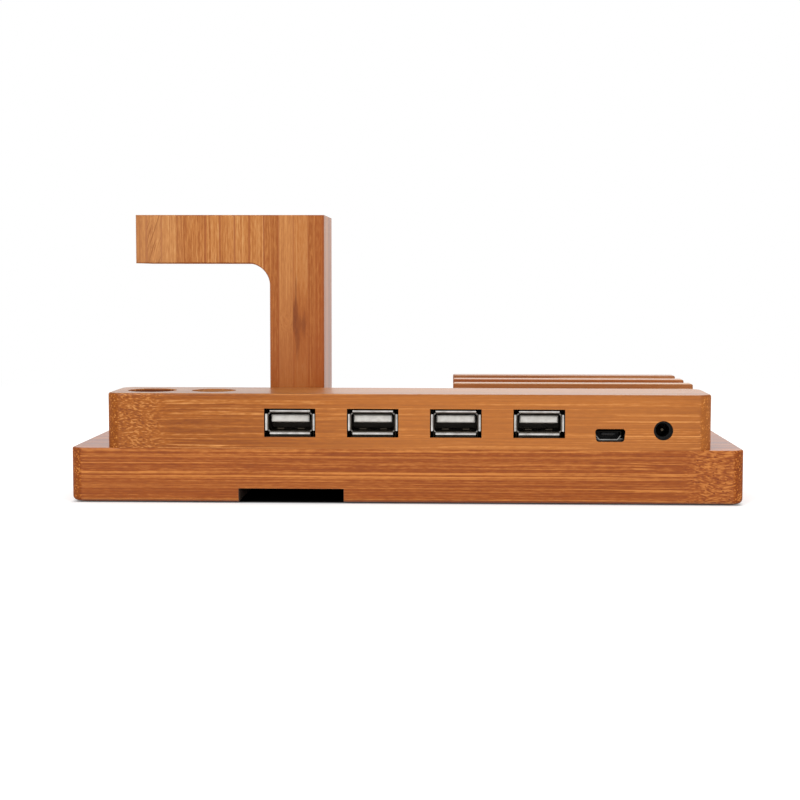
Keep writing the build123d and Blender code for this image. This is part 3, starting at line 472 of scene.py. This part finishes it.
def stand_finish():
    """Upright strips, paler towards the arm's end, with a dark knot half way up the post."""
    strip_width = 4.49
    calm_strip, knot_strip, after_knot = -39.6, -35.1, -30.6        # where these strips begin
    wood = bamboo("stand_bamboo_lacquered",
                  (colour(154, 82, 26), colour(190, 122, 60), colour(216, 160, 100)),
                  "z", "x", strip_width, strip_start=-80.0, spacing=1.2, seed=5.7,
                  knots=[Knot(calm_strip, knot_strip, place=52.0, half=3.2, darkness=0.1),
                         Knot(knot_strip, after_knot, place=51.5, half=4.2, darkness=0.9)],
                  spread=0.42, joints=0.75, slant=-0.22, knot_range=1500.0, dash=(1.3, 0.4),
                  dash_light=0.1, gloss=0.15, contrast=1.8, bundle_light=0.2)
    for start, amount, shade in ((calm_strip, 0.4, colour(206, 142, 82)),
                                 (knot_strip, 0.45, colour(176, 104, 46))):
        wood.tint(wood.band(wood.x, start, start + strip_width, 0.05), amount, shade)

    # Darker downwards and to the right, and paler at the arm's end
    for value, start, end, amount, shade in ((wood.z, 78.0, 34.0, 0.55, colour(154, 76, 16)),
                                             (wood.x, -31.0, -25.0, 0.4, colour(160, 76, 16)),
                                             (wood.x, -66.0, -76.0, 0.25, colour(212, 158, 104))):
        wood.tint(wood.smooth(value, start, end), amount, shade)

    # Thin dark lines that lean across the second strip from the arm's end
    second = wood.band(wood.x, -79.9, -75.7, 0.1)
    leaning = wood.add(wood.x, wood.times(wood.z, -0.32))
    dark_lines = wood.smooth(wood.noise(wood.place(0.55, 8.0, 12.0, x=leaning)), 0.48, 0.38)
    wood.tint(wood.times(second, dark_lines), 0.55, colour(134, 70, 22))

    # Dark stains along the fibres in and around the knot
    ragged = wood.centred(wood.noise(wood.place(0.45, 0.45, 5.0)), 1.6)
    for x, z, half_width, half_height, amount in (
            (-34.6, 55.0, 0.8, 5.5, 0.6), (-33.7, 51.6, 2.2, 3.0, 0.4),
            (-33.8, 46.8, 0.9, 5.5, 0.45), (-31.7, 52.5, 0.4, 4.5, 0.3),
            (-34.3, 62.0, 0.4, 5.0, 0.4)):
        out = wood.distance(wood.times(wood.add(wood.x, -x), 1 / half_width),
                            wood.times(wood.add(wood.z, -z), 1 / half_height))
        wood.tint(wood.smooth(wood.add(out, ragged), 1.25, 0.4), amount, colour(108, 46, 6))

    # Painted light on the right side, a stand-in for its reflection: a pale middle band between two
    # darker ones
    on_side = wood.smooth(wood.x, stand_right - 0.3, stand_right - 0.1)
    for start, end, factors in ((-40.0, -33.0, (0.9, 0.95, 1.1, 1.0)),
                                (-32.6, -22.4, (1.15, 1.4, 1.7, 1.0)),
                                (-22.0, -15.0, (0.8, 0.85, 1.1, 1.0))):
        painted_light_band = wood.times(on_side, wood.band(wood.y, start, end, 0.4))
        wood.tint(painted_light_band, 1.0, factors, "MULTIPLY")
    return wood.finished()


def divider_finish():
    """The divider next to the bar is paler than the others, and the last one greyer."""
    wood = bamboo("divider_bamboo_lacquered",
                  (colour(156, 90, 44), colour(190, 122, 68), colour(220, 162, 104)),
                  "x", "y", strip_width=7.1, strip_start=-24.75, spacing=1.5, seed=1.9)
    wood.tint(wood.smooth(wood.y, -9.0, -13.0), 1.0, (1.14, 1.5, 1.9, 1.0), "MULTIPLY")
    wood.tint(wood.smooth(wood.y, 9.0, 13.0), 1.0, (0.8, 0.82, 1.0, 1.0), "MULTIPLY")
    return wood.finished()


def dowel_finish():
    """Plain turned wood with fine upright pores."""
    wood = Finish("dowel_beech", Roughness=0.6)
    grain = wood.noise(wood.place(0.5, 0.5, 8.0), detail=3.0)
    pores = wood.smooth(wood.cells(wood.place(0.45, 0.45, 2.6)), 0.25, 0.1)
    wood.tone = wood.ramp(grain, (0.3, colour(196, 160, 118)), (0.7, colour(222, 190, 148)))
    wood.tint(pores, 0.5, colour(150, 110, 76))
    wood.bump(wood.add(grain, wood.times(pores, -0.6)), 0.04)
    return wood.finished()


def rubber_finish():
    """Matt black rubber with a little dust."""
    rubber = Finish("pad_rubber_matt", IOR=1.5)
    dust = rubber.noise(rubber.cubes(3.0), detail=4.0)
    grit = rubber.noise(rubber.cubes(0.25))
    rubber.tone = rubber.ramp(dust, (0.35, colour(24, 24, 25)), (0.75, colour(44, 43, 42)))
    rubber.set(Roughness=rubber.add(0.72, rubber.centred(grit, 0.3)))
    rubber.bump(grit, 0.05)
    return rubber.finished()


def drawn_metal(name, dark, light, roughness, line=(0.15, 6.0, 0.15)):
    """Metal with faint stains and fine drawn lines. line is their size along x, y and z."""
    metal = Finish(name, Metallic=1.0)
    lines = metal.noise(metal.place(*line))
    stains = metal.noise(metal.cubes(2.2), detail=3.0)
    metal.tone = metal.ramp(stains, (0.3, dark), (0.65, light))
    metal.set(Roughness=metal.add(roughness, metal.centred(lines, 0.25),
                                  metal.centred(stains, 0.12)))
    metal.bump(lines, 0.01)
    return metal


def screw_finish():
    """Bright zinc."""
    return drawn_metal("screw_zinc", colour(150, 150, 146), colour(204, 203, 198), 0.3).finished()


def can_finish():
    """Aluminium cans, with their lines upright."""
    return drawn_metal("can_drawn_aluminium", colour(176, 178, 182), colour(214, 215, 218), 0.34,
                       line=(0.2, 0.2, 5.0)).finished()


def shell_finish():
    """Nickel plated sheet, bright at the flared lips, with a thin painted highlight band at their
    roots and painted shade further in.
    """
    metal = drawn_metal("shell_nickel", colour(176, 172, 168), colour(214, 212, 208), 0.34)
    micro = metal.smooth(metal.x, micro_left - 0.6, micro_left - 0.3)
    behind_lips = metal.smooth(metal.y, usb_front + 0.2, usb_front + 0.36)
    # The band at the lips' roots is left out of the painted shade, as a painted highlight line
    root_highlight = metal.band(metal.y, usb_front + 0.61, usb_front + 0.81, 0.03)
    painted_shade_further_in = metal.times(behind_lips, metal.opposite(root_highlight), metal.opposite(micro))
    metal.tint(painted_shade_further_in, 1.0, PAINTED_RECEPTACLE_SHADOW)
    # Painted shade over the whole micro-USB shell, a little lighter along its lower rim
    micro_painted_shade = metal.smooth(metal.z, micro_bottom + 1.5, micro_bottom + 1.1, 1.0, 0.6)
    metal.tint(metal.times(micro, micro_painted_shade), 1.0, colour(24, 23, 21))
    return metal.finished()


def contact_finish():
    """Thin gold over nickel, with painted shade where it lies deep inside a receptacle."""
    metal = drawn_metal("contact_gold", colour(150, 116, 60), colour(200, 164, 96), 0.3)
    deep = metal.smooth(metal.y, bar_low[1] + 1.0, bar_low[1] + 3.0)
    by_micro = metal.smooth(metal.x, micro_left - 1.0, micro_left)
    metal.tint(metal.math("MAXIMUM", deep, by_micro), 1.0, PAINTED_RECEPTACLE_SHADOW)
    return metal.finished()


def tongue_finish():
    """Off-white moulding, with its lower part and its base in shadow grey."""
    step = 23.8         # the height below which a tongue lies in shadow
    plastic = Finish("tongue_moulding", IOR=1.3)
    mottle = plastic.noise(plastic.cubes(1.5), detail=3.0)
    fine = plastic.noise(plastic.cubes(0.12))
    plastic.tone = plastic.ramp(mottle, (0.3, colour(206, 203, 196)), (0.7, colour(226, 224, 218)))
    below = plastic.smooth(plastic.z, step + 0.06, step - 0.06)
    base = plastic.smooth(plastic.y, usb_front + 5.0, usb_front + 6.0)
    plastic.tint(plastic.math("MAXIMUM", below, base), 1.0, colour(86, 80, 70))
    plastic.set(Roughness=plastic.add(0.42, plastic.centred(fine, 0.2)))
    plastic.bump(fine, 0.01)
    return plastic.finished()


def plastic_finish(name, dark, light, roughness):
    """Moulded plastic with a faint spark-eroded grain and flow marks."""
    plastic = Finish(name, IOR=1.36)
    flow = plastic.noise(plastic.place(4.0, 1.5, 1.5), detail=3.0)
    grain = plastic.noise(plastic.cubes(0.18))
    plastic.tone = plastic.ramp(flow, (0.3, dark), (0.7, light))
    plastic.set(Roughness=plastic.add(roughness, plastic.centred(grain, 0.25)))
    plastic.bump(grain, 0.02)
    return plastic.finished()


def board_finish():
    """Green solder resist over raised tracks that turn square corners, with painted shade next to
    the ports.
    """
    pitch, block_width = 1.27, 9.5      # of the tracks, and of blocks in which they run one way
    along_y, unused = 0.5, 0.35         # the shares of blocks with tracks along y, and of gaps
    block_seed = 0.37
    board = Finish("board_solder_resist", Coat_Weight=0.4, Coat_Roughness=0.15)
    counted_x, counted_y = board.times(board.x, 1 / pitch), board.times(board.y, 1 / pitch)
    row, column = board.math("FRACT", counted_y), board.math("FRACT", counted_x)
    block = board.math("FLOOR", board.times(board.x, 1 / block_width))
    turned = board.math("GREATER_THAN", board.random(board.add(block, block_seed)), along_y)
    across = board.add(board.times(row, turned), board.times(column, board.opposite(turned)))
    chance = board.random(board.add(board.math("FLOOR", counted_y), block))
    used = board.math("GREATER_THAN", chance, unused)
    middle = board.smooth(board.math("ABSOLUTE", board.add(across, -0.5)), 0.24, 0.18)
    track = board.times(middle, used)
    mottle = board.noise(board.cubes(5.0), detail=3.0)
    board.tone = board.ramp(mottle, (0.3, colour(14, 66, 36)), (0.7, colour(24, 88, 50)))
    board.tint(track, 1.0, colour(46, 122, 66))
    painted_shade_by_ports = board.smooth(board.y, board_low[1] + 2.0, board_low[1] + 1.0)
    board.tint(painted_shade_by_ports, 1.0, colour(9, 12, 9))
    board.set(Roughness=board.add(0.35, board.centred(mottle, 0.2)))
    board.bump(track, 0.04)
    return board.finished()


finishes = {
    "plate_bamboo": plate_finish(),
    "housing_bamboo": bar_finish(),
    "stand_bamboo": stand_finish(),
    "divider_bamboo": divider_finish(),
    "dowel_wood": dowel_finish(),
    "pad_rubber": rubber_finish(),
    "screw_steel": screw_finish(),
    "shell_steel": shell_finish(),
    "contact_brass": contact_finish(),
    "pale_moulding": tongue_finish(),
    "black_moulding": plastic_finish("black_moulding_grained", colour(5, 5, 6),
                                     colour(12, 12, 13), 0.6),
    "board_green": board_finish(),
    "chip_moulding": plastic_finish("chip_epoxy", colour(22, 22, 24), colour(38, 38, 40), 0.6),
    "ferrite": plastic_finish("ferrite_sintered", colour(34, 34, 37), colour(62, 61, 64), 0.55),
    "fuse_moulding": plastic_finish("fuse_coating", colour(22, 64, 36), colour(38, 92, 54), 0.5),
    "can_aluminium": can_finish(),
}
slot_of = {part["node"]: part["material_slot"] for part in frame["record"]["subparts"]}
for node, piece in frame["nodes"].items():
    for slot in piece.material_slots:
        slot.material = finishes[slot_of[node]]


def seen_ray(nodes, links):
    """1 for rays that show the background, from the camera or by way of gloss or glass."""
    path = nodes.new("ShaderNodeLightPath")
    seen = path.outputs["Is Camera Ray"]
    for name in ("Is Glossy Ray", "Is Transmission Ray"):
        both = nodes.new("ShaderNodeMath")
        both.operation = "MAXIMUM"
        links.new(seen, both.inputs[0])
        links.new(path.outputs[name], both.inputs[1])
        seen = both.outputs[0]
    return seen


def make_world():
    """White where it is seen, and a plain grey light on the object."""
    ambient = 0.5
    world = bpy.data.worlds.new("studio")
    world.use_nodes = True
    nodes, links = world.node_tree.nodes, world.node_tree.links
    strength = nodes.new("ShaderNodeMapRange")
    strength.inputs["To Min"].default_value = ambient
    links.new(seen_ray(nodes, links), strength.inputs[0])
    nodes["Background"].inputs["Color"].default_value = WHITE
    links.new(strength.outputs[0], nodes["Background"].inputs["Strength"])
    bpy.context.scene.world = world


def floor_finish():
    """Pale paper that keeps the dock's shadow, and is as white as the background further out."""
    lift = 0.42                         # what the paper adds to its own brightness where it is seen
    white_from, white_to = 260.0, 520.0             # distances from the middle of the dock
    shadow_from, shadow_to = -4.0, 1.0                  # distances from the sides of the plate
    paper = Finish("floor_paper", Roughness=0.9, Specular_IOR_Level=0.0, Emission_Color=WHITE)
    grain = paper.noise(paper.cubes(2.0), detail=3.0)
    paper.bump(grain, 0.05)
    sheet = paper.ramp(grain, (0.0, colour(226, 226, 226)), (1.0, colour(232, 232, 232)))

    # Painted shadow under the plate
    out_x = paper.add(paper.math("ABSOLUTE", paper.x), -plate_high[0])
    out_y = paper.add(paper.math("ABSOLUTE", paper.y), -plate_high[1])
    outside = paper.smooth(paper.math("MAXIMUM", out_x, out_y), shadow_from, shadow_to)
    paper.tone = paper.mix(outside, colour(20, 20, 20), sheet)
    seen = seen_ray(paper.nodes, paper.links)
    paper.set(Emission_Strength=paper.times(seen, outside, lift))

    # White further out
    white = paper.nodes.new("ShaderNodeEmission")
    blend = paper.nodes.new("ShaderNodeMixShader")
    far = paper.smooth(paper.distance(paper.x, paper.y), white_from, white_to)
    for socket, value in zip(blend.inputs, (paper.times(far, seen), paper.shader.outputs[0],
                                            white.outputs[0])):
        paper.put(socket, value)
    paper.put(paper.nodes["Material Output"].inputs["Surface"], blend.outputs[0])
    return paper.finished()


def make_floor():
    """A flat round floor, in metres."""
    radius, steps = 2.5, 96
    angles = [math.tau * step / steps for step in range(steps)]
    rim = [(radius * math.cos(angle), radius * math.sin(angle), 0.0) for angle in angles]
    mesh = bpy.data.meshes.new("floor")
    mesh.from_pydata(rim, [], [tuple(range(steps))])
    mesh.materials.append(floor_finish())
    floor = bpy.data.objects.new("floor", mesh)
    bpy.context.scene.collection.objects.link(floor)


def make_lamp(name, place, target, size, power):
    """A square soft lamp, in metres and watts, turned towards a target."""
    data = bpy.data.lights.new(name, "AREA")
    data.shape = "SQUARE"
    data.size = size
    data.energy = power
    lamp = bpy.data.objects.new(name, data)
    lamp.location = place
    lamp.rotation_euler = (Vector(target) - Vector(place)).to_track_quat("-Z", "Y").to_euler()
    bpy.context.scene.collection.objects.link(lamp)


def make_camera(place, yaw, pitch, roll):
    """The camera at the photograph's viewing angle: yaw to the left, pitch downwards."""
    forward = Vector((-math.sin(yaw) * math.cos(pitch), math.cos(yaw) * math.cos(pitch),
                      -math.sin(pitch)))
    level = Vector((math.cos(yaw), math.sin(yaw), 0.0))
    upward = level.cross(forward)
    right = level * math.cos(roll) + upward * math.sin(roll)
    above = upward * math.cos(roll) - level * math.sin(roll)
    lens = bpy.data.cameras.new("camera")
    lens.sensor_width = 36.0
    lens.lens = 75.257
    lens.clip_start = 0.01
    camera = bpy.data.objects.new("camera", lens)
    turned = Matrix((right, above, -forward)).transposed().to_4x4()
    camera.matrix_world = Matrix.Translation(place) @ turned
    bpy.context.scene.collection.objects.link(camera)
    bpy.context.scene.camera = camera


make_world()
make_floor()
middle = (0.0, -0.03, 0.03)
make_lamp("key", (-0.55, -0.85, 0.75), middle, size=0.7, power=7.0)
make_lamp("fill", (0.8, -0.7, 0.5), middle, size=0.9, power=4.0)
make_lamp("back", (0.2, 0.75, 0.9), middle, size=0.8, power=5.0)
make_camera((0.01365, -0.54930, 0.06715), yaw=math.radians(1.811), pitch=math.radians(4.337),
            roll=math.radians(0.085))
bpy.context.scene.view_settings.view_transform = "Standard"
